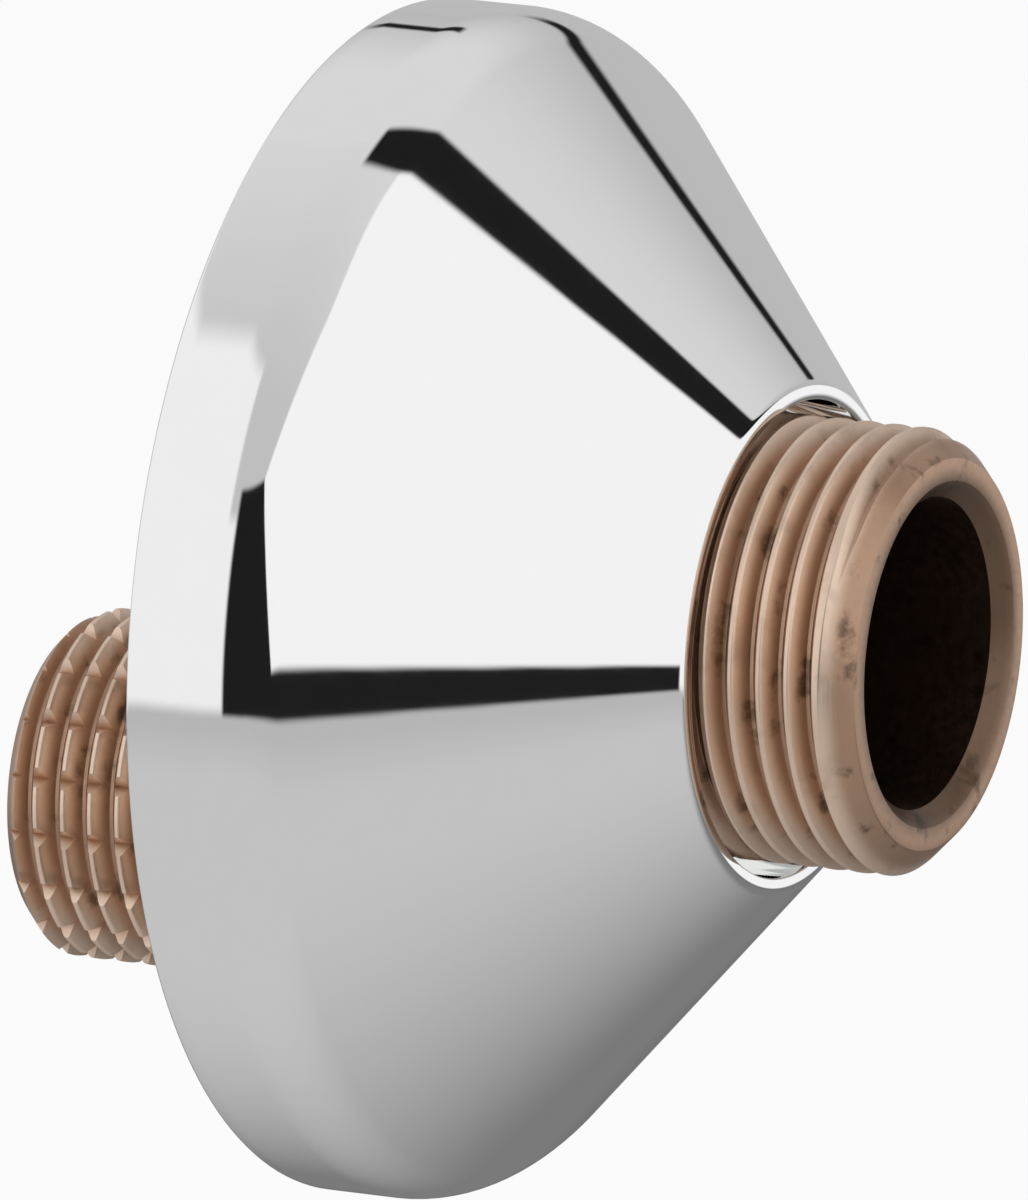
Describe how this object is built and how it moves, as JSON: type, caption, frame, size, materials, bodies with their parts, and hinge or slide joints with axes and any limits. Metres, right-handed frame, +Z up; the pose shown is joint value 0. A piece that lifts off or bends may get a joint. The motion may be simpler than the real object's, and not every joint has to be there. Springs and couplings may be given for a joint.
{
  "type": "s-union",
  "caption": "Eccentric brass pipe connector with a larger male thread towards the mixer, a smaller one towards the wall, and a chromed bell escutcheon on it.",
  "frame": {"origin": "point where the mixer thread's axis meets the plane of the finished wall, which is the escutcheon's rim at rest", "axes": "-Y out of the wall along the mixer thread's axis, +Z up from the wall thread's axis to the mixer thread's axis, +X to the right as one faces the wall"},
  "size_m": [0.071, 0.0565, 0.071],
  "materials": {
    "brass": "bare machined brass, pinkish, with dark stains in the grooves",
    "chrome": "polished chrome plate"
  },
  "bodies": {
    "union": {"union_body": "brass"},
    "escutcheon": {"escutcheon": "chrome"}
  },
  "joints": [
    {"name": "escutcheon_travel", "type": "slide", "parent": "union", "child": "escutcheon", "axis": [0, -1, 0], "range_m": [-0.00544, 0.01995]}
  ]
}
